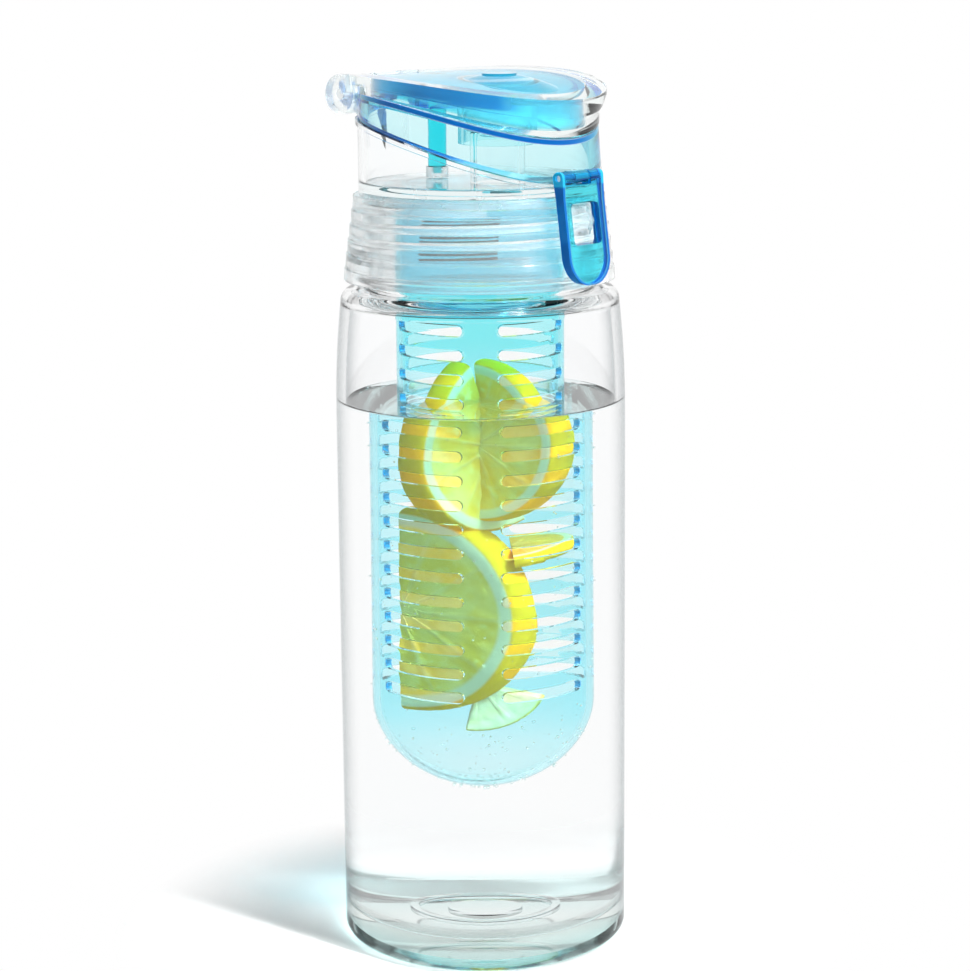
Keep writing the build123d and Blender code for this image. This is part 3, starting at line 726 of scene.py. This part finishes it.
def helix_mesh(name, crest, root, low, turns, start, width, gaps=False):
    """One helical ridge; root is a hair inside the wall it grows from, and both ends run out.
    gaps breaks it into four stretches a turn."""
    build = bmesh.new()
    steps = int(turns * steps_per_turn)
    rings = []
    for step in range(steps + 1):
        share = step / steps
        angle = math.radians(start) + 2 * math.pi * turns * share
        height = low + thread_pitch * turns * share
        fade = min(1.0, share * turns * 6, (1 - share) * turns * 6)
        if gaps:
            off_gap = abs((math.degrees(angle) - start) / 90.0 % 1.0 - 0.5)
            fade = min(fade, max(0.0, (off_gap - 0.28) * 25.0))
        reach = root + (crest - root) * max(fade, 0.02)
        outline = [(root, -width / 2), (reach, -width * 0.16), (reach, width * 0.16), (root, width / 2)]
        rings.append([build.verts.new((r * math.cos(angle), r * math.sin(angle), height + z))
                      for r, z in outline])
    for first, second in zip(rings, rings[1:]):
        stitch(build, first, second, closed=True)
    build.faces.new(rings[0])
    build.faces.new(rings[-1][::-1])
    bmesh.ops.recalc_face_normals(build, faces=build.faces)
    return finished(build, name)


neck_thread = helix_mesh("neck_thread", crest=29.25 * MM, root=28.35 * MM, low=182.0 * MM, turns=3.2,
                         start=31.0, width=1.5 * MM, gaps=True)
add_object("neck_thread", neck_thread, thread_clear, "bottle")
collar_thread = helix_mesh("collar_thread", crest=29.3 * MM, root=30.05 * MM, low=184.2 * MM, turns=2.6,
                           start=10.0, width=2.2 * MM)
add_object("collar_thread", collar_thread, collar_clear, "collar")


# Stage: floor, light and camera

floor_half_side = 3.0
glow_full, glow_end = 31.0, 37.0
fade_start, fade_end = 50.0, 100.0


def floor_material():
    """White floor that keeps the shadow near the bottle, fades into the white ground further off, and
    carries painted light under the clear foot, for the light that the foot lets through."""
    material, tree, output = new_material("floor_white")
    shader = tree.nodes.new("ShaderNodeBsdfDiffuse")
    glow = tree.nodes.new("ShaderNodeEmission")
    glow.inputs["Color"].default_value = white
    glow.inputs["Strength"].default_value = 1.0
    mottle = grain(tree, 3.0)
    colour = blended(tree, mottle, (0.82, 0.82, 0.82, 1), (0.81, 0.815, 0.82, 1))
    tree.links.new(colour, shader.inputs["Color"])
    x, y, z = axes(tree)
    reach = distance_from(tree, x, y)
    # painted light under the clear foot, for the light that the foot lets through
    painted_foot_light = maths(tree, "MULTIPLY", ramp(tree, reach, glow_end, glow_full), 0.8)
    lit = maths(tree, "MAXIMUM", ramp(tree, reach, fade_start, fade_end), painted_foot_light)
    tree.links.new(mixed_shaders(tree, lit, shader.outputs[0], glow.outputs[0]), output.inputs["Surface"])
    return material


def background(tree, colour, strength):
    """One even background."""
    shader = tree.nodes.new("ShaderNodeBackground")
    shader.inputs["Color"].default_value = colour
    shader.inputs["Strength"].default_value = strength
    return shader.outputs[0]


build = bmesh.new()
bmesh.ops.create_grid(build, x_segments=1, y_segments=1, size=floor_half_side)
floor_mesh = finished(build, "floor")
floor_mesh.materials.append(floor_material())
floor = bpy.data.objects.new("floor", floor_mesh)
scene = bpy.context.scene
scene.collection.objects.link(floor)

# The world lights softly, and is plain white wherever it is seen
world = bpy.data.worlds.new("studio")
scene.world = world
world.use_nodes = True
tree = world.node_tree
tree.nodes.clear()
output = tree.nodes.new("ShaderNodeOutputWorld")
path = tree.nodes.new("ShaderNodeLightPath")
seen = maths(tree, "MAXIMUM", path.outputs["Is Camera Ray"], path.outputs["Is Glossy Ray"])
seen = maths(tree, "MAXIMUM", seen, path.outputs["Is Transmission Ray"])
lighting = background(tree, (0.86, 0.87, 0.88, 1), 0.4)
shown = background(tree, white, 1.0)
tree.links.new(mixed_shaders(tree, seen, lighting, shown), output.inputs["Surface"])

light_azimuth = math.radians(camera_azimuth + 50.0)
light_elevation = math.radians(46.0)
toward_light = Vector((math.sin(light_azimuth) * math.cos(light_elevation),
                       -math.cos(light_azimuth) * math.cos(light_elevation),
                       math.sin(light_elevation)))
sun_data = bpy.data.lights.new("key", "SUN")
sun_data.energy = 4.3
sun_data.angle = math.radians(3.0)
sun_data.cycles.use_multiple_importance_sampling = False
sun = bpy.data.objects.new("key", sun_data)
scene.collection.objects.link(sun)
sun.rotation_mode = "QUATERNION"
sun.rotation_quaternion = toward_light.to_track_quat("Z", "Y")

# Camera, fitted to the photograph
image_width = 970
focal_pixels = 2703.6
sensor_width = 36.0
camera_distance = 0.6925
camera_height = 0.264
camera_pitch = 0.2041
camera_roll = -0.0087
camera_yaw = -3.55 / focal_pixels
camera_data = bpy.data.cameras.new("camera")
camera_data.sensor_width = sensor_width
camera_data.lens = focal_pixels / image_width * sensor_width
camera = bpy.data.objects.new("camera", camera_data)
scene.collection.objects.link(camera)
place = Matrix.Translation((math.sin(view_turn) * camera_distance, -math.cos(view_turn) * camera_distance,
                            camera_height))
camera.matrix_world = (place @ Matrix.Rotation(view_turn + camera_yaw, 4, "Z")
                       @ Matrix.Rotation(math.pi / 2 - camera_pitch, 4, "X")
                       @ Matrix.Rotation(camera_roll, 4, "Z"))
scene.camera = camera

scene.view_settings.view_transform = "Standard"
scene.cycles.max_bounces = 32
scene.cycles.transmission_bounces = 32
scene.cycles.transparent_max_bounces = 32
